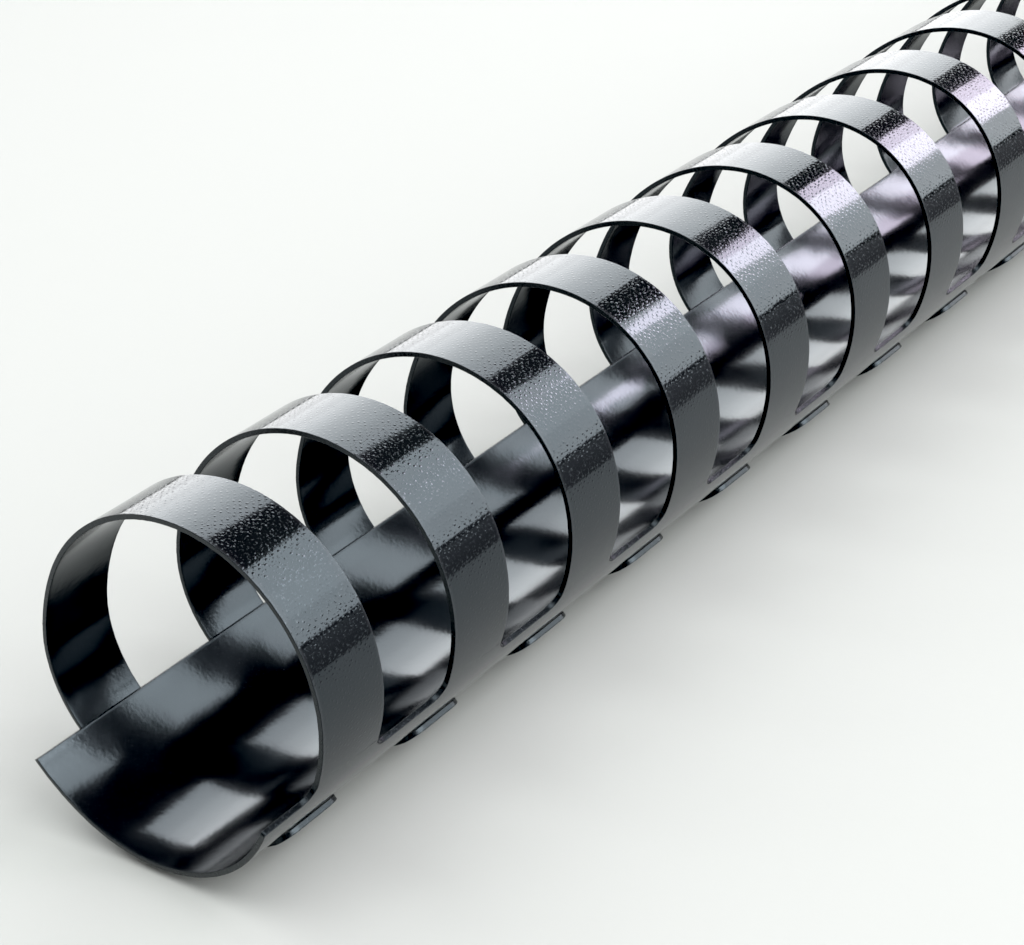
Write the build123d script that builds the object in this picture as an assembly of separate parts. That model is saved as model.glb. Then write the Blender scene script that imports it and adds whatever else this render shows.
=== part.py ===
from build123d import *
import math
import os

# Plastic binding comb: one thin curled sheet, split into a spine and a row of fingers.
# X runs along the comb, Z is up as the comb lies at rest, and Y crosses it.
# Lengths are in mm and angles in degrees.

# ---- the whole comb
RING_COUNT = 19
PITCH = 14.2875
SPINE_OVERHANG = 8.2
SPINE_STRIPS = 6
SHEET = 0.45

# ---- the oval that the outer face of every finger follows
OVAL_LONG = 16.95
OVAL_SHORT = 13.48
OVAL_TILT = 141.5

# ---- stations along the curled sheet, as eccentric angles of the oval
# The sheet starts at the lip, passes the roots, and each finger curls on to its tip.
LIP = 193.0
ROOT = 68.0
FLEX = 10.0
TIP_FLEX = -125.0
TIP = -268.0
ONE_TURN = 360.0

# ---- where the sheet leaves the oval
BELLY_DEPTH = 1.72
BELLY_CENTRE = 168.0
BELLY_TO_ROOT = 100.0
BELLY_TO_TIP = 62.0
WRAP_GAP = 0.25
WRAP_START = -110.0
WRAP_END = -167.0

# ---- the fingers
FINGER_WIDTH = 6.4
ROOT_FILLET = 1.4
TIP_CORNER = 1.6
FLEX_SLIT = 0.12

# ---- sampling of the curves
DEGREES_PER_STATION = 6.0
FEWEST_SPANS = 4
CUTTER_REACH = 2.0


def ease(x):
    """Smooth rise from 0 at x = 0 to 1 at x = 1."""
    x = min(1.0, max(0.0, x))
    return x * x * (3.0 - 2.0 * x)


def belly(station):
    """How far the sheet is flattened inwards beside the lip."""
    if ROOT > station > WRAP_START:
        return 0.0
    turned = station + ONE_TURN if station <= WRAP_START else station
    reach = BELLY_TO_TIP if turned > BELLY_CENTRE else BELLY_TO_ROOT
    away = min(1.0, abs(turned - BELLY_CENTRE) / reach)
    return BELLY_DEPTH * math.cos(math.pi / 2.0 * away) ** 2


def wrap(station):
    """How far a finger moves outwards so that it passes outside the spine."""
    return (SHEET + WRAP_GAP) * ease((WRAP_START - station) / (WRAP_START - WRAP_END))


def outward(station):
    """Unit normal of the oval at a station, as (y, z)."""
    angle = math.radians(station)
    tilt = math.radians(OVAL_TILT)
    turned = math.atan2(math.sin(angle) / OVAL_SHORT, math.cos(angle) / OVAL_LONG) + tilt
    return math.cos(turned), math.sin(turned)


def section_point(station, depth):
    """Point (y, z) of the curled sheet at a station, at a depth below its outer face."""
    angle = math.radians(station)
    tilt = math.radians(OVAL_TILT)
    along = OVAL_LONG * math.cos(angle)
    across = OVAL_SHORT * math.sin(angle)
    normal_y, normal_z = outward(station)
    offset = wrap(station) - belly(station) - depth
    y = along * math.cos(tilt) - across * math.sin(tilt) + offset * normal_y
    z = along * math.sin(tilt) + across * math.cos(tilt) + offset * normal_z
    return y, z


def station_after(station, distance):
    """The station that lies a distance further along the sheet towards the tips."""
    angle = math.radians(station)
    per_radian = math.hypot(OVAL_LONG * math.sin(angle), OVAL_SHORT * math.cos(angle))
    return station - math.degrees(distance / per_radian)


def stations(start, end):
    """Evenly spaced stations from start to end."""
    spans = max(FEWEST_SPANS, round(abs(end - start) / DEGREES_PER_STATION))
    return [start + (end - start) * i / spans for i in range(spans + 1)]


def strip(start, end, width):
    """Piece of curled sheet between two stations, centred on X = 0."""
    outer = [Vector(0, *section_point(s, 0.0)) for s in stations(start, end)]
    inner = [Vector(0, *section_point(s, SHEET)) for s in stations(end, start)]
    outline = [
        Spline(*outer),
        Line(outer[-1], inner[0]),
        Spline(*inner),
        Line(inner[-1], outer[0]),
    ]
    return extrude(make_face(outline), amount=width / 2.0, dir=(1, 0, 0), both=True)


def through_cutter(x, station, radius):
    """Round cutter that passes square through the sheet."""
    y, z = section_point(station, SHEET / 2.0)
    plane = Plane(origin=(x, y, z), z_dir=(0, *outward(station)))
    return plane * Cylinder(radius=radius, height=2.0 * CUTTER_REACH)


def spine():
    """The channel that carries every finger, from its lip to the line of roots.

    It is one sheet. It is laid out as narrow strips that meet edge to edge, each nearly flat,
    so that its hollow stays open in collision.
    """
    length = (RING_COUNT - 1) * PITCH + 2.0 * SPINE_OVERHANG
    edges = [LIP + (ROOT - LIP) * i / SPINE_STRIPS for i in range(SPINE_STRIPS + 1)]
    return Compound([strip(start, end, length) for start, end in zip(edges, edges[1:])])


def finger_root():
    """First stretch of a finger, flared into the spine by a fillet on each side."""
    flare_end = station_after(ROOT, ROOT_FILLET)
    flare = strip(ROOT, flare_end, FINGER_WIDTH + 2.0 * ROOT_FILLET)
    for side in (-1, 1):
        x = side * (FINGER_WIDTH / 2.0 + ROOT_FILLET)
        flare -= through_cutter(x, flare_end, ROOT_FILLET)
    shank = strip(flare_end, station_after(FLEX, -FLEX_SLIT / 2.0), FINGER_WIDTH)
    return flare + shank


def finger_arch():
    """Middle stretch of a finger, over the top of the pages."""
    start = station_after(FLEX, FLEX_SLIT / 2.0)
    end = station_after(TIP_FLEX, -FLEX_SLIT / 2.0)
    return strip(start, end, FINGER_WIDTH)


def finger_tip():
    """Last stretch of a finger, which passes outside the lip and lies under the spine."""
    body = strip(station_after(TIP_FLEX, FLEX_SLIT / 2.0), TIP, FINGER_WIDTH)
    end_y, end_z = section_point(TIP, SHEET / 2.0)
    corners = [
        e
        for e in body.edges()
        if e.length < 2.0 * SHEET
        and math.hypot(e.center().Y - end_y, e.center().Z - end_z) < SHEET
    ]
    return fillet(corners, TIP_CORNER)


def seat(shapes):
    """Move that puts the bottom centre of all the shapes at the origin."""
    box = Compound(children=[copy_of(s) for s in shapes]).bounding_box()
    return Location((-box.center().X, -box.center().Y, -box.min.Z))


def copy_of(shape):
    """A separate copy, so that a compound can hold it."""
    return shape.moved(Location((0, 0, 0)))


def main():
    os.makedirs("parts", exist_ok=True)
    channel = spine()
    pieces = {"root": finger_root(), "arch": finger_arch(), "tip": finger_tip()}
    down = seat([channel, *pieces.values()])
    export_step(channel.moved(down), "parts/spine.step")
    for ring in range(RING_COUNT):
        x = (ring - (RING_COUNT - 1) / 2.0) * PITCH
        for name, piece in pieces.items():
            placed = piece.moved(down * Location((x, 0, 0)))
            export_step(placed, f"parts/finger_{ring + 1:02d}_{name}.step")


main()
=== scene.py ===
import functools
import math
import random

import bpy
import numpy as np
from mathutils import Matrix, Vector


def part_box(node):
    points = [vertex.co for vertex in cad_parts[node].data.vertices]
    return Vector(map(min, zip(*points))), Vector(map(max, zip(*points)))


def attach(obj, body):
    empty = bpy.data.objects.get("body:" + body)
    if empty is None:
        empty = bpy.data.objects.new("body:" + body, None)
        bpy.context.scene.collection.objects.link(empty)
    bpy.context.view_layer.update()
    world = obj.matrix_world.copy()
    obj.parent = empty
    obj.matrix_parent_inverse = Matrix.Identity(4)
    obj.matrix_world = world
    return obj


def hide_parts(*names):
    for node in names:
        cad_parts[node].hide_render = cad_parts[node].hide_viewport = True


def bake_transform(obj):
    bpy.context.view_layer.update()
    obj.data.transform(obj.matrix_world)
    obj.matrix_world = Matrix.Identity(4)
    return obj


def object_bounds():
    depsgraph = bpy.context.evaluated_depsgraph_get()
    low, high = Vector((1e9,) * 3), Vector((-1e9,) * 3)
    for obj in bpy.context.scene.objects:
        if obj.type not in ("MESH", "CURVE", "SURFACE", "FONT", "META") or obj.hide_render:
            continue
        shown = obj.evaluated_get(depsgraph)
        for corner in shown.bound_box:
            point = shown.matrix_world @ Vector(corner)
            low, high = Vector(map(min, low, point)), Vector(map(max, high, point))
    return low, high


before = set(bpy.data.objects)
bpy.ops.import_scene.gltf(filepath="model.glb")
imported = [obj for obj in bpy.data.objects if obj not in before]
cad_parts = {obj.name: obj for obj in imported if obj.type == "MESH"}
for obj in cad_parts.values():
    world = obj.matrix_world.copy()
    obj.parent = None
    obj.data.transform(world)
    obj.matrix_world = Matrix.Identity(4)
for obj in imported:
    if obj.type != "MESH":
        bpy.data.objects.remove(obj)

# Looks of a plastic binding comb: a spine sheet with a row of curled fingers.
# Lengths are in metres, angles in degrees, and X runs along the comb.

CAD_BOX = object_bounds()
MM = 0.001

# ---- the curled section, with the same driving values as the CAD source
SHEET = 0.45 * MM
OVAL_LONG = 16.95 * MM
OVAL_SHORT = 13.48 * MM
OVAL_TILT = 141.5
LIP, ROOT, TIP = 193.0, 68.0, -268.0
FLEX, TIP_FLEX = 10.0, -125.0
BELLY_DEPTH = 1.72 * MM
BELLY_CENTRE, BELLY_TO_ROOT, BELLY_TO_TIP = 168.0, 100.0, 62.0
WRAP_GAP = 0.25 * MM
WRAP_START, WRAP_END = -110.0, -167.0
FINGER_WIDTH = 6.4 * MM
ROOT_FILLET = 1.4 * MM
TIP_CORNER = 1.6 * MM

# ---- how finely the sheet is built
ROW_STEP = 0.36 * MM
FINGER_COLUMN_STEP = 1.0 * MM
SPINE_COLUMN_STEP = 1.3 * MM
FLARE_ROWS = 4
TIP_CORNER_STEPS = 9
CUT_BEVEL = 0.05 * MM
CUT_ROUGHNESS = 0.012 * MM
WORN_BORDER = 0.28 * MM
FILLET_STEPS = 7
TABLE_STEP = 0.1
SLOPE_STEP = 0.05 * MM
CLOSE = 0.0001 * MM
COLUMN_ROUNDING = 1e9
ONE_TURN = 360.0

# ---- surface relief: pitch or size of the features, and how high they stand
DOT_PITCH, DOT_HEIGHT = 0.44 * MM, 0.013 * MM
FLECK_SIZE, FLECK_HEIGHT = 0.20 * MM, 0.0042 * MM
GRAIN_SIZE, GRAIN_HEIGHT = 0.16 * MM, 0.0006 * MM
OUTER_WAVE_SIZE, OUTER_WAVE_HEIGHT = 5.0 * MM, 0.016 * MM
INNER_WAVE_SIZE, INNER_WAVE_HEIGHT = 4.0 * MM, 0.014 * MM
LINE_SIZE, LINE_HEIGHT = 0.6 * MM, 0.0010 * MM
PRESSED_SIZE, PRESSED_HEIGHT = 0.42 * MM, 0.0030 * MM
TEAR_SIZE, TEAR_HEIGHT = 0.09 * MM, 0.005 * MM
CHIP_SIZE, CHIP_HEIGHT = 0.35 * MM, 0.012 * MM

# ---- size of the features that change only colour or gloss
PATCH_SIZE, SPECK_SIZE = 7.0 * MM, 0.05 * MM
HAZE_SIZE, DUST_SIZE = 9.0 * MM, 0.16 * MM

# ---- how far the pattern of the surface shifts from finger to finger, as a multiple of their distance
PATTERN_SHIFT = 3.7

# ---- small differences from finger to finger
SIDE_SWAY = 0.16 * MM
CURL_SWAY = 0.10 * MM
CURL_SWAY_REACH = 0.5

# ---- stations along the sheet: the split between each finger's two pieces, and spans round the bends it makes when the comb is opened, whose points nothing uses
MIDDLE_STATION = -57.0
FLEX_SPREAD = 36.0
TIP_FLEX_SPREAD = 40.0

random.seed(7)


# ------------------------------------------------------------------ the curled section

def ease(x):
    """Smooth rise from 0 at x = 0 to 1 at x = 1."""
    x = min(1.0, max(0.0, x))
    return x * x * (3.0 - 2.0 * x)


def belly(station):
    """How far the sheet is flattened inwards beside the lip."""
    if ROOT > station > WRAP_START:
        return 0.0
    turned = station + ONE_TURN if station <= WRAP_START else station
    reach = BELLY_TO_TIP if turned > BELLY_CENTRE else BELLY_TO_ROOT
    away = min(1.0, abs(turned - BELLY_CENTRE) / reach)
    return BELLY_DEPTH * math.cos(math.pi / 2.0 * away) ** 2


def wrap(station):
    """How far a finger moves outwards so that it passes outside the spine."""
    return (SHEET + WRAP_GAP) * ease((WRAP_START - station) / (WRAP_START - WRAP_END))


def outward(station):
    """Unit normal of the oval at a station, as (y, z)."""
    angle, tilt = math.radians(station), math.radians(OVAL_TILT)
    turned = math.atan2(math.sin(angle) / OVAL_SHORT, math.cos(angle) / OVAL_LONG) + tilt
    return math.cos(turned), math.sin(turned)


def section_point(station, depth):
    """Point (y, z) of the curled sheet at a station, at a depth below its outer face."""
    angle, tilt = math.radians(station), math.radians(OVAL_TILT)
    along, across = OVAL_LONG * math.cos(angle), OVAL_SHORT * math.sin(angle)
    normal_y, normal_z = outward(station)
    offset = wrap(station) - belly(station) - depth
    y = along * math.cos(tilt) - across * math.sin(tilt) + offset * normal_y
    z = along * math.sin(tilt) + across * math.cos(tilt) + offset * normal_z
    return y, z


class Section:
    """The curled section measured along its length, and seated in the CAD box."""

    def __init__(self):
        count = round((LIP - TIP) / TABLE_STEP)
        self.turned = np.array([TABLE_STEP * i for i in range(count + 1)])
        points = np.array([section_point(LIP - t, 0.0) for t in self.turned])
        steps = np.hypot(*np.diff(points, axis=0).T)
        self.lengths = np.concatenate([[0.0], np.cumsum(steps)])
        low, high = CAD_BOX
        self.move_y = (low.y + high.y) / 2.0 - (points[:, 0].min() + points[:, 0].max()) / 2.0
        self.move_z = low.z - points[:, 1].min()

    def arc(self, station):
        """Length of sheet from the lip to a station."""
        return float(np.interp(LIP - station, self.turned, self.lengths))

    @functools.lru_cache(maxsize=None)
    def station(self, arc):
        """The station that lies a length of sheet from the lip."""
        return LIP - float(np.interp(arc, self.lengths, self.turned))

    @functools.lru_cache(maxsize=None)
    def yz(self, arc, depth):
        """Point of the sheet in the row frame, as (y, z)."""
        y, z = section_point(self.station(arc), depth)
        return y + self.move_y, z + self.move_z


section = Section()
ARC_FLARE_END = section.arc(ROOT) + ROOT_FILLET
ARC_MIDDLE = section.arc(MIDDLE_STATION)
ARC_TIP = section.arc(TIP)


# ------------------------------------------------------------------ materials

OUTER, INNER, CUT = 0, 1, 2
PVC_IOR = 1.57
PVC_TINT = (0.75, 0.90, 1.0, 1.0)
UV_NAME, WEAR_NAME = "sheet", "worn"


class Shader:
    """A small wrapper that makes one material's nodes."""

    def __init__(self, name):
        self.material = bpy.data.materials.new(name)
        self.material.use_nodes = True
        self.nodes = self.material.node_tree.nodes
        self.links = self.material.node_tree.links
        self.surface = self.nodes["Principled BSDF"]

    def node(self, kind, settings=None, **inputs):
        """Adds a node. Inputs are values or other nodes' outputs, with _ for a space."""
        made = self.nodes.new(kind)
        for key, value in (settings or {}).items():
            setattr(made, key, value)
        for key, value in inputs.items():
            self.set(made, key.replace("_", " "), value)
        return made

    def set(self, node, socket, value):
        if isinstance(value, bpy.types.NodeSocket):
            self.links.new(value, node.inputs[socket])
        else:
            node.inputs[socket].default_value = value

    def sheet_place(self, along=1.0, across=1.0, turn=0.0):
        """Place on the sheet in metres, stretched along and across the finger."""
        place = self.node("ShaderNodeUVMap", {"uv_map": UV_NAME})
        return self.node(
            "ShaderNodeMapping", Vector=place.outputs["UV"],
            Rotation=(0.0, 0.0, math.radians(turn)), Scale=(along, across, 1.0),
        ).outputs["Vector"]

    def noise(self, place, size, detail=2.0, rough=0.5):
        """Noise with features of about that size, from 0 to 1."""
        return self.node(
            "ShaderNodeTexNoise", {"noise_dimensions": "2D"},
            Vector=place, Scale=1.0 / size, Detail=detail, Roughness=rough,
        ).outputs["Fac"]

    def span(self, value, low, high, to_low=0.0, to_high=1.0, smooth=False):
        """Maps a value from one span to another."""
        kind = {"interpolation_type": "SMOOTHSTEP"} if smooth else {}
        made = self.node("ShaderNodeMapRange", kind, Value=value)
        made.inputs["From Min"].default_value = low
        made.inputs["From Max"].default_value = high
        made.inputs["To Min"].default_value = to_low
        made.inputs["To Max"].default_value = to_high
        return made.outputs["Result"]

    def maths(self, operation, first, second):
        made = self.nodes.new("ShaderNodeMath")
        made.operation = operation
        for i, value in enumerate((first, second)):
            if isinstance(value, bpy.types.NodeSocket):
                self.links.new(value, made.inputs[i])
            else:
                made.inputs[i].default_value = value
        return made.outputs[0]

    def blend(self, share, dark, light):
        """Colour between two colours."""
        made = self.node("ShaderNodeMix", {"data_type": "RGBA"})
        self.links.new(share, made.inputs["Factor"])
        for socket, colour in ((6, dark), (7, light)):
            if isinstance(colour, bpy.types.NodeSocket):
                self.links.new(colour, made.inputs[socket])
            else:
                made.inputs[socket].default_value = (*colour, 1.0)
        return made.outputs[2]

    def bump(self, height, depth, under=None):
        """Normal of a relief that is a depth high where the height is 1."""
        made = self.node("ShaderNodeBump", Strength=1.0, Distance=depth, Height=height)
        if under is not None:
            self.links.new(under, made.inputs["Normal"])
        return made.outputs["Normal"]

    def wear(self):
        """1 at a cut edge, fading to 0 a little way in."""
        return self.node("ShaderNodeAttribute", {"attribute_name": WEAR_NAME}).outputs["Fac"]

    def finish(self, colour, roughness, normal, **fixed):
        self.links.new(colour, self.surface.inputs["Base Color"])
        self.links.new(roughness, self.surface.inputs["Roughness"])
        self.links.new(normal, self.surface.inputs["Normal"])
        for key, value in fixed.items():
            self.surface.inputs[key.replace("_", " ")].default_value = value
        return self.material


def embossed_outside():
    """Outer face: black PVC with staggered raised dots, small flecks and a faint grain."""
    s = Shader("comb_outside_embossed")
    plain = s.sheet_place()
    lattice = s.sheet_place(1.0 / DOT_PITCH, 1.0 / DOT_PITCH, 45.0)
    cells = s.node(
        "ShaderNodeTexVoronoi", {"voronoi_dimensions": "2D"},
        Vector=lattice, Scale=1.0, Randomness=0.38,
    )
    dot = s.span(cells.outputs["Distance"], 0.05, 0.30, 1.0, 0.0, smooth=True)
    tint = s.node("ShaderNodeSeparateColor", Color=cells.outputs["Color"])
    height = s.span(s.maths("POWER", tint.outputs["Red"], 2.0), 0.0, 1.0, 0.22, 1.0)
    dot = s.maths("MULTIPLY", dot, height)
    grain = s.noise(s.sheet_place(0.3, 1.0), GRAIN_SIZE, 3.0, 0.6)
    wave = s.noise(plain, OUTER_WAVE_SIZE, 1.0)
    normal = s.bump(wave, OUTER_WAVE_HEIGHT)
    normal = s.bump(grain, GRAIN_HEIGHT, normal)
    normal = s.bump(dot, DOT_HEIGHT, normal)
    fleck = s.span(s.noise(plain, FLECK_SIZE, 2.0), 0.60, 0.74, smooth=True)
    normal = s.bump(fleck, FLECK_HEIGHT, normal)
    patches = s.noise(plain, PATCH_SIZE, 3.0)
    specks = s.noise(plain, SPECK_SIZE, 2.0)
    colour = s.blend(patches, (0.0030, 0.0032, 0.0038), (0.0062, 0.0066, 0.0076))
    colour = s.blend(s.wear(), colour, (0.014, 0.0145, 0.016))
    speckled = s.span(specks, 0.3, 0.7, 0.0, 0.02)
    rough = s.maths("ADD", s.span(patches, 0.3, 0.7, 0.05, 0.075), speckled)
    rough = s.maths("ADD", rough, s.maths("MULTIPLY", s.wear(), 0.10))
    return s.finish(colour, rough, normal, IOR=PVC_IOR, Specular_Tint=PVC_TINT)


def smooth_inside():
    """Inner face: glossy black PVC with faint rolling lines, pressed marks and haze."""
    s = Shader("comb_inside_gloss")
    plain = s.sheet_place()
    haze = s.noise(plain, HAZE_SIZE, 4.0, 0.6)
    lines = s.noise(s.sheet_place(0.12, 1.0), LINE_SIZE, 2.0)
    wave = s.noise(plain, INNER_WAVE_SIZE, 1.0)
    dust = s.span(s.noise(plain, DUST_SIZE, 2.0), 0.70, 0.76)
    pressed = s.noise(plain, PRESSED_SIZE, 2.0, 0.6)
    normal = s.bump(wave, INNER_WAVE_HEIGHT)
    normal = s.bump(lines, LINE_HEIGHT, normal)
    normal = s.bump(pressed, PRESSED_HEIGHT, normal)
    colour = s.blend(haze, (0.0030, 0.0032, 0.0038), (0.0055, 0.0058, 0.0068))
    colour = s.blend(s.maths("MULTIPLY", dust, 0.25), colour, (0.06, 0.06, 0.065))
    rough = s.maths("ADD", s.span(haze, 0.3, 0.7, 0.10, 0.14), s.maths("MULTIPLY", s.wear(), 0.10))
    return s.finish(colour, rough, normal, IOR=PVC_IOR, Specular_Tint=PVC_TINT)


def cut_edge():
    """Punched edge: slightly torn, matter than the faces, with tiny bright burrs."""
    s = Shader("comb_cut_edge")
    plain = s.sheet_place()
    tear = s.noise(s.sheet_place(1.0, 0.5), TEAR_SIZE, 4.0, 0.65)
    chips = s.noise(plain, CHIP_SIZE, 3.0)
    normal = s.bump(tear, TEAR_HEIGHT)
    normal = s.bump(chips, CHIP_HEIGHT, normal)
    colour = s.blend(tear, (0.0012, 0.0012, 0.0014), (0.0060, 0.0062, 0.0070))
    rough = s.span(chips, 0.3, 0.7, 0.14, 0.30)
    return s.finish(
        colour, rough, normal, IOR=PVC_IOR, Specular_Tint=PVC_TINT, Specular_IOR_Level=0.3,
    )


SHEET_MATERIALS = [embossed_outside(), smooth_inside(), cut_edge()]


# ------------------------------------------------------------------ nets of sheet, before they are thickened

class Net:
    """A flat net of cells over (arc, x), whose shared corners are merged."""

    def __init__(self):
        self.spots = []
        self.cells = []
        self.numbers = {}

    def spot(self, arc, x):
        key = (round(arc / CLOSE), round(x / CLOSE))
        if key not in self.numbers:
            self.numbers[key] = len(self.spots)
            self.spots.append((arc, x))
        return self.numbers[key]

    def cell(self, *corners):
        """Adds a cell, given its corners in turn from +arc towards +x."""
        numbers = []
        for arc, x in corners:
            number = self.spot(arc, x)
            if number not in numbers:
                numbers.append(number)
        if len(numbers) > 2:
            self.cells.append(numbers)

    def grid(self, rows):
        """Adds the cells between rows of (arc, x) points."""
        for row, following in zip(rows, rows[1:]):
            for i in range(len(row) - 1):
                self.cell(row[i], following[i], following[i + 1], row[i + 1])

    def border(self):
        """Border edges as (from, to), with the net on their left."""
        used = set()
        for cell in self.cells:
            for a, b in zip(cell, cell[1:] + cell[:1]):
                used.add((a, b))
        return [(a, b) for a, b in used if (b, a) not in used]


def spread(start, end, step):
    """Evenly spaced values from start to end, no further apart than the step."""
    count = max(1, math.ceil(abs(end - start) / step))
    return [start + (end - start) * i / count for i in range(count + 1)]


def across(half_width):
    """Places across a finger, with narrow columns along its two cut edges."""
    inside = half_width * (1.0 - 2.0 * WORN_BORDER / FINGER_WIDTH)
    return [-half_width, *spread(-inside, inside, FINGER_COLUMN_STEP), half_width]


def flare_height(away):
    """Height of a root's flare at a distance from the finger's centre line."""
    into_fillet = FINGER_WIDTH / 2.0 + ROOT_FILLET - abs(away)
    if into_fillet >= ROOT_FILLET:
        return ROOT_FILLET
    return ROOT_FILLET - math.sqrt(ROOT_FILLET ** 2 - into_fillet ** 2)


def spine_net(low_x, high_x, centres):
    """The channel with a flared stub for each finger."""
    net = Net()
    flare = FINGER_WIDTH / 2.0 + ROOT_FILLET
    turns = [math.pi / 2.0 * i / FILLET_STEPS for i in range(FILLET_STEPS)]
    side = [flare - ROOT_FILLET * math.sin(t) for t in turns]
    stub = [-x for x in side] + across(FINGER_WIDTH / 2.0) + side[::-1]
    columns = {low_x, low_x + WORN_BORDER, high_x - WORN_BORDER, high_x}
    stops = [low_x, *centres, high_x]
    for left, right in zip(stops, stops[1:]):
        start = left + (WORN_BORDER if left == low_x else flare)
        end = right - (WORN_BORDER if right == high_x else flare)
        columns.update(spread(start, end, SPINE_COLUMN_STEP))
    for centre in centres:
        columns.update(centre + x for x in stub)
    columns = sorted({round(x * COLUMN_ROUNDING) / COLUMN_ROUNDING for x in columns})
    edge = section.arc(ROOT)
    arcs = [0.0, *spread(WORN_BORDER, edge - WORN_BORDER, ROW_STEP), edge]
    net.grid([[(arc, x) for x in columns] for arc in arcs])
    for centre in centres:
        xs = [x for x in columns if abs(x - centre) <= flare + CLOSE]
        net.grid([
            [(edge + flare_height(x - centre) * row / FLARE_ROWS, x) for x in xs]
            for row in range(FLARE_ROWS + 1)
        ])
    return net


def finger_net(start, end, centre, rounded):
    """A straight stretch of finger. A rounded one ends in a tip with two rounded corners."""
    net = Net()
    half = FINGER_WIDTH / 2.0
    last = end - TIP_CORNER if rounded else end
    rows = [[(arc, centre + x) for x in across(half)] for arc in spread(start, last, ROW_STEP)]
    if rounded:
        for i in range(1, TIP_CORNER_STEPS + 1):
            turn = math.pi / 2.0 * i / TIP_CORNER_STEPS
            narrow = half - TIP_CORNER * (1.0 - math.cos(turn))
            arc = last + TIP_CORNER * math.sin(turn)
            rows.append([(arc, centre + x * narrow / half) for x in across(half)])
    net.grid(rows)
    return net


# ------------------------------------------------------------------ from a net to a closed piece of sheet

class Sway:
    """Where a piece of sheet lies. A finger strays a little from the true section."""

    def __init__(self, centre, side=0.0, curl=0.0):
        self.centre, self.side, self.curl = centre, side, curl

    def share(self, arc):
        """How far along a finger an arc is, from 0 at its root to 1 at its tip."""
        return min(1.0, max(0.0, (arc - ARC_FLARE_END) / (ARC_TIP - ARC_FLARE_END)))

    @functools.lru_cache(maxsize=None)
    def yz(self, arc, depth):
        swell = math.sin(math.pi * min(1.0, self.share(arc) / CURL_SWAY_REACH)) ** 2
        return section.yz(arc, depth - self.curl * swell)

    def place(self, arc, x, depth):
        """Point of the sheet in the row frame."""
        return Vector((x + self.side * ease(self.share(arc)), *self.yz(arc, depth)))

    @functools.lru_cache(maxsize=None)
    def tangent(self, arc):
        """Direction along the sheet, away from the lip."""
        after, before = self.yz(arc + SLOPE_STEP, 0.0), self.yz(arc - SLOPE_STEP, 0.0)
        return Vector((0.0, after[0] - before[0], after[1] - before[1])).normalized()

    def normal(self, arc):
        """Outward direction of the sheet's outer face."""
        along = self.tangent(arc)
        return Vector((0.0, -along.z, along.y))


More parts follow.
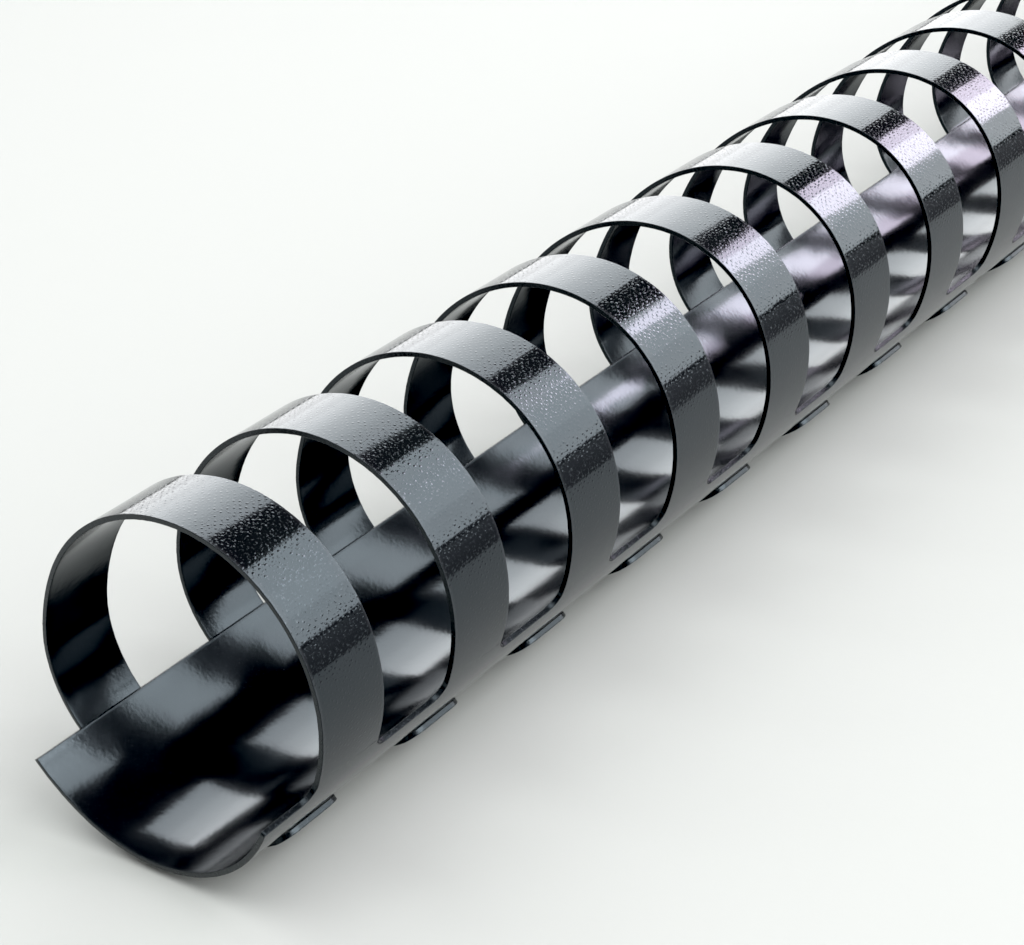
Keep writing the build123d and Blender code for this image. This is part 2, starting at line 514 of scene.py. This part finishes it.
def thicken(name, net, sway, joins=()):
    """Closed mesh of a net at the sheet's thickness, with its cut edges slightly rounded.

    joins are the arcs where it meets another piece, with a flat end instead of a cut edge.
    """
    def on_join(spot):
        return any(abs(net.spots[spot][0] - join) < CLOSE for join in joins)

    border = net.border()
    join_edges = [(a, b) for a, b in border if on_join(a) and on_join(b)]
    cut_edges = [(a, b) for a, b in border if not (on_join(a) and on_join(b))]
    outwards = {}
    for a, b in cut_edges:
        (arc_a, x_a), (arc_b, x_b) = net.spots[a], net.spots[b]
        length = math.hypot(arc_b - arc_a, x_b - x_a)
        for i in (a, b):
            along, sideways = outwards.get(i, (0.0, 0.0))
            outwards[i] = (along + (x_b - x_a) / length, sideways - (arc_b - arc_a) / length)

    points, normals, uvs, worn = [], [], [], []

    def add(arc, x, depth, normal, uv, wear):
        points.append(sway.place(arc, x, depth))
        normals.append(normal)
        uvs.append(uv)
        worn.append(wear)
        return len(points) - 1

    top, wall_top, wall_low, low = {}, {}, {}, {}
    for i, (arc, x) in enumerate(net.spots):
        face_normal = sway.normal(arc)
        along, sideways = outwards.get(i, (0.0, 0.0))
        size = math.hypot(along, sideways)
        if size > 0.0:
            along, sideways = along / size, sideways / size
            nick = 0.0 if on_join(i) else random.uniform(-1.0, 1.0) * CUT_ROUGHNESS
            arc, x = arc + along * nick, x + sideways * nick
        inset = CUT_BEVEL if size > 0.0 else 0.0
        arc_in, x_in = arc - along * inset, x - sideways * inset
        wear = 1.0 if size > 0.0 else 0.0
        top[i] = add(arc_in, x_in, 0.0, face_normal, (arc_in, x_in), wear)
        low[i] = add(arc_in, x_in, SHEET, -face_normal, (arc_in, x_in), wear)
        if size > 0.0:
            out = sway.tangent(arc) * along + Vector((sideways, 0.0, 0.0))
            wall_top[i] = add(arc, x, CUT_BEVEL, out, (arc + x, CUT_BEVEL), wear)
            wall_low[i] = add(arc, x, SHEET - CUT_BEVEL, out, (arc + x, SHEET), wear)

    faces, slots, flat = [], [], []

    def face(corners, slot, normal=None):
        faces.append(corners)
        slots.append(slot)
        flat.append(normal)

    for cell in net.cells:
        face([top[i] for i in reversed(cell)], OUTER)
        face([low[i] for i in cell], INNER)
    for a, b in cut_edges:
        face([top[a], top[b], wall_top[b], wall_top[a]], CUT)
        face([wall_top[a], wall_top[b], wall_low[b], wall_low[a]], CUT)
        face([wall_low[a], wall_low[b], low[b], low[a]], CUT)
    for chain in chains(join_edges):
        first, last = chain[0], chain[-1]
        forward = 1.0 if net.spots[last][1] > net.spots[first][1] else -1.0
        ring = [top[i] for i in chain] + [wall_top[last], wall_low[last]]
        ring += [low[i] for i in reversed(chain)] + [wall_low[first], wall_top[first]]
        face(ring, CUT, sway.tangent(net.spots[first][0]) * forward)

    mesh = bpy.data.meshes.new(name)
    mesh.from_pydata(points, [], faces)
    for slot_material in SHEET_MATERIALS:
        mesh.materials.append(slot_material)
    mesh.polygons.foreach_set("material_index", slots)
    mesh.polygons.foreach_set("use_smooth", [True] * len(faces))
    layer = mesh.uv_layers.new(name=UV_NAME)
    shift = sway.centre * PATTERN_SHIFT
    for loop in mesh.loops:
        u, v = uvs[loop.vertex_index]
        layer.data[loop.index].uv = (u + shift, v)
    wear_layer = mesh.attributes.new(WEAR_NAME, "FLOAT", "POINT")
    wear_layer.data.foreach_set("value", worn)
    corner_normals = []
    for polygon, normal in zip(mesh.polygons, flat):
        for i in polygon.vertices:
            corner_normals.append(normals[i] if normal is None else normal)
    mesh.normals_split_custom_set(corner_normals)
    mesh.update()
    return mesh


def chains(edges):
    """Joins border edges end to end into runs of spots."""
    following = dict(edges)
    starts = [a for a, _ in edges if a not in set(following.values())]
    runs = []
    for spot in starts:
        run = [spot]
        while run[-1] in following:
            run.append(following[run[-1]])
        runs.append(run)
    return runs


# ------------------------------------------------------------------ the pieces

def add_piece(name, mesh, replaced):
    """Links a piece of sheet that stands for those CAD nodes."""
    piece = bpy.data.objects.new(name, mesh)
    bpy.context.scene.collection.objects.link(piece)
    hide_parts(*replaced)
    return piece


def bend_point(centre, station):
    """Point of the outer face at a station, on a finger's centre line."""
    return Vector((centre, *section.yz(section.arc(station), 0.0)))


FINGERS = sorted(n[: -len("_tip")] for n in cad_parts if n.endswith("_tip"))
CENTRES = {f: sum((corner.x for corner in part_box(f + "_tip")), 0.0) / 2.0 for f in FINGERS}

spine_low, spine_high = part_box("spine")
channel = spine_net(spine_low.x, spine_high.x, [CENTRES[f] for f in FINGERS])
channel_mesh = thicken("spine_sheet", channel, Sway(0.0), joins=[ARC_FLARE_END])
channel_nodes = ["spine", *(f + "_root" for f in FINGERS)]
channel_piece = add_piece("spine_sheet", channel_mesh, channel_nodes)
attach(channel_piece, "spine")

for finger in FINGERS:
    centre = CENTRES[finger]
    side_sway = random.uniform(-SIDE_SWAY, SIDE_SWAY)
    stray = Sway(centre, side_sway, random.uniform(-CURL_SWAY, CURL_SWAY))
    net = finger_net(ARC_FLARE_END, ARC_MIDDLE, centre, rounded=False)
    mesh = thicken(finger + "_rise", net, stray, joins=[ARC_FLARE_END, ARC_MIDDLE])
    rise = add_piece(finger + "_rise", mesh, [finger + "_arch"])
    bend_point(centre, FLEX + FLEX_SPREAD)
    bend_point(centre, FLEX - FLEX_SPREAD)
    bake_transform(rise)
    net = finger_net(ARC_MIDDLE, ARC_TIP, centre, rounded=True)
    mesh = thicken(finger + "_curl", net, stray, joins=[ARC_MIDDLE])
    curl = add_piece(finger + "_curl", mesh, [finger + "_tip"])
    bend_point(centre, TIP_FLEX + TIP_FLEX_SPREAD)
    bend_point(centre, TIP_FLEX - TIP_FLEX_SPREAD)
    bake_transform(curl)


# ------------------------------------------------------------------ floor, light and camera

FIRST = Vector((CENTRES[FINGERS[0]], 0.0, (CAD_BOX[0].z + CAD_BOX[1].z) / 2.0))


def card(name, corners, material):
    """A flat stage card."""
    mesh = bpy.data.meshes.new(name)
    mesh.from_pydata(corners, [], [tuple(range(len(corners)))])
    mesh.materials.append(material)
    made = bpy.data.objects.new(name, mesh)
    bpy.context.scene.collection.objects.link(made)
    return made


def floor_material():
    """Pale board with a faint mottle."""
    s = Shader("pale_board")
    place = s.node("ShaderNodeTexCoord").outputs["Object"]
    mottle = s.node("ShaderNodeTexNoise", Vector=place, Scale=40.0, Detail=4.0).outputs["Fac"]
    colour = s.blend(mottle, (0.324, 0.336, 0.325), (0.341, 0.353, 0.342))
    fine = s.node("ShaderNodeTexNoise", Vector=place, Scale=900.0, Detail=3.0).outputs["Fac"]
    normal = s.bump(fine, 0.01 * MM)
    return s.finish(colour, s.span(mottle, 0.3, 0.7, 0.75, 0.85), normal, Specular_IOR_Level=0.15)


def direction(azimuth, elevation):
    """Unit vector at an azimuth from +X towards +Y, and an elevation above the floor."""
    a, e = math.radians(azimuth), math.radians(elevation)
    return Vector((math.cos(a) * math.cos(e), math.sin(a) * math.cos(e), math.sin(e)))


# Energy that gives a square metre of area light a radiance of 1.
ENERGY_PER_AREA = 4.0


def softbox(name, azimuths, elevations, distance, brightness, colour=(1.0, 1.0, 1.0)):
    """A soft light that fills a span of azimuth and elevation, seen from the first finger."""
    azimuth, elevation = sum(azimuths) / 2.0, sum(elevations) / 2.0
    half_turn = math.radians(azimuths[1] - azimuths[0]) / 2.0
    half_rise = math.radians(elevations[1] - elevations[0]) / 2.0
    lamp = bpy.data.lights.new(name, "AREA")
    lamp.shape = "RECTANGLE"
    lamp.size = 2.0 * distance * math.tan(half_turn) * math.cos(math.radians(elevation))
    lamp.size_y = 2.0 * distance * math.tan(half_rise)
    lamp.energy = brightness * ENERGY_PER_AREA * lamp.size * lamp.size_y
    lamp.color = colour
    made = bpy.data.objects.new(name, lamp)
    towards = direction(azimuth, elevation)
    made.location = FIRST + towards * distance
    made.rotation_euler = towards.to_track_quat("Z", "Y").to_euler()
    bpy.context.scene.collection.objects.link(made)
    return made


def light_wall(name, azimuths, elevations, distance, brightnesses):
    """A soft light made of equal tiers, one above the other, from the lowest up."""
    low, high = elevations
    tier = (high - low) / len(brightnesses)
    for i, brightness in enumerate(brightnesses):
        span = (low + tier * i, low + tier * (i + 1))
        softbox(f"{name}_{i + 1}", azimuths, span, distance, brightness)


FLOOR_HALF = 0.8
FLAG_HALF = 1.5
FLAG_LIFT = 0.4 * MM
FLAG_GAP = 62.0 * MM
floor_z = CAD_BOX[0].z
floor_low_y = FIRST.y - FLOOR_HALF
card("floor", [
    (-FLOOR_HALF, floor_low_y, floor_z), (FLOOR_HALF, floor_low_y, floor_z),
    (FLOOR_HALF, FLOOR_HALF, floor_z), (-FLOOR_HALF, FLOOR_HALF, floor_z),
], floor_material())

# Each light has its span of azimuth and of elevation, its distance, and its tiers' brightness.
light_wall("key", (-61.0, -18.0), (2.0, 54.0), 1.60, [3.2, 3.7, 3.5])
light_wall("back", (7.0, 60.0), (0.5, 53.0), 2.40, [2.3, 3.1, 3.6, 3.4, 3.1])
light_wall("rear", (60.0, 105.0), (0.5, 53.0), 2.40, [1.0, 1.8, 2.2])
softbox("lilac_glow", (-29.0, -8.0), (15.0, 38.0), 1.50, 7.5, (1.0, 0.84, 0.97))
light_wall("side", (-112.0, -62.0), (4.0, 54.0), 1.60, [7.0])
light_wall("fill", (110.0, 230.0), (22.0, 60.0), 1.60, [0.5])
light_wall("overhead", (105.0, 255.0), (62.0, 98.0), 1.20, [3.0])

# A black flag in front of the comb, seen only in reflections, like the dark room before a tent.
dark_board = Shader("dark_board")
flag_grain = dark_board.node("ShaderNodeTexNoise", Scale=60.0, Detail=3.0).outputs["Fac"]
flag_material = dark_board.finish(
    dark_board.blend(flag_grain, (0.010, 0.010, 0.010), (0.014, 0.014, 0.014)),
    dark_board.span(flag_grain, 0.3, 0.7, 0.8, 0.9),
    dark_board.bump(flag_grain, 0.01 * MM),
)
flag_z = floor_z + FLAG_LIFT
flag_far, flag_near = FIRST.y - FLAG_HALF, FIRST.y - FLAG_GAP
flag = card("dark_flag", [
    (-FLAG_HALF, flag_far, flag_z), (FLAG_HALF, flag_far, flag_z),
    (FLAG_HALF, flag_near, flag_z), (-FLAG_HALF, flag_near, flag_z),
], flag_material)
flag.visible_camera = flag.visible_diffuse = flag.visible_shadow = False

# The room beyond the floor is pale to the camera, and dark to everything else.
ROOM_DARK = (0.022, 0.023, 0.023, 1.0)
ROOM_PALE = (0.80, 0.83, 0.81, 1.0)
world = bpy.data.worlds.new("studio")
bpy.context.scene.world = world
world.use_nodes = True
room = world.node_tree
seen = room.nodes.new("ShaderNodeLightPath").outputs["Is Camera Ray"]
shade = room.nodes.new("ShaderNodeMix")
shade.data_type = "RGBA"
room.links.new(seen, shade.inputs["Factor"])
shade.inputs[6].default_value = ROOM_DARK
shade.inputs[7].default_value = ROOM_PALE
room.links.new(shade.outputs[2], room.nodes["Background"].inputs["Color"])

# ---- the camera looks at a point given from the first finger, with its lens and sensor in millimetres
AIM = Vector((36.1, -0.203, -1.892)) * MM
CAMERA_DISTANCE = 176.2 * MM
CAMERA_HEADING, CAMERA_ELEVATION, CAMERA_ROLL = 43.8, 26.0, -10.7
LENS, SENSOR_WIDTH = 71.67, 36.0
CLIP_START, CLIP_END = 0.01, 10.0
camera_data = bpy.data.cameras.new("camera")
camera_data.lens = LENS
camera_data.sensor_width = SENSOR_WIDTH
camera_data.clip_start, camera_data.clip_end = CLIP_START, CLIP_END
camera = bpy.data.objects.new("camera", camera_data)
view = -direction(CAMERA_HEADING + 180.0, CAMERA_ELEVATION)
camera.location = FIRST + AIM - view * CAMERA_DISTANCE
roll = Matrix.Rotation(math.radians(CAMERA_ROLL), 3, "Z")
turn = view.to_track_quat("-Z", "Y").to_matrix() @ roll
camera.rotation_euler = turn.to_euler()
bpy.context.scene.collection.objects.link(camera)
bpy.context.scene.camera = camera

# Anything darker than this level is drawn as black.
BLACK_LEVEL = 0.012
look = bpy.context.scene.view_settings
look.view_transform = "Standard"
look.use_curve_mapping = True
look.curve_mapping.black_level = (BLACK_LEVEL, BLACK_LEVEL, BLACK_LEVEL)
look.curve_mapping.update()
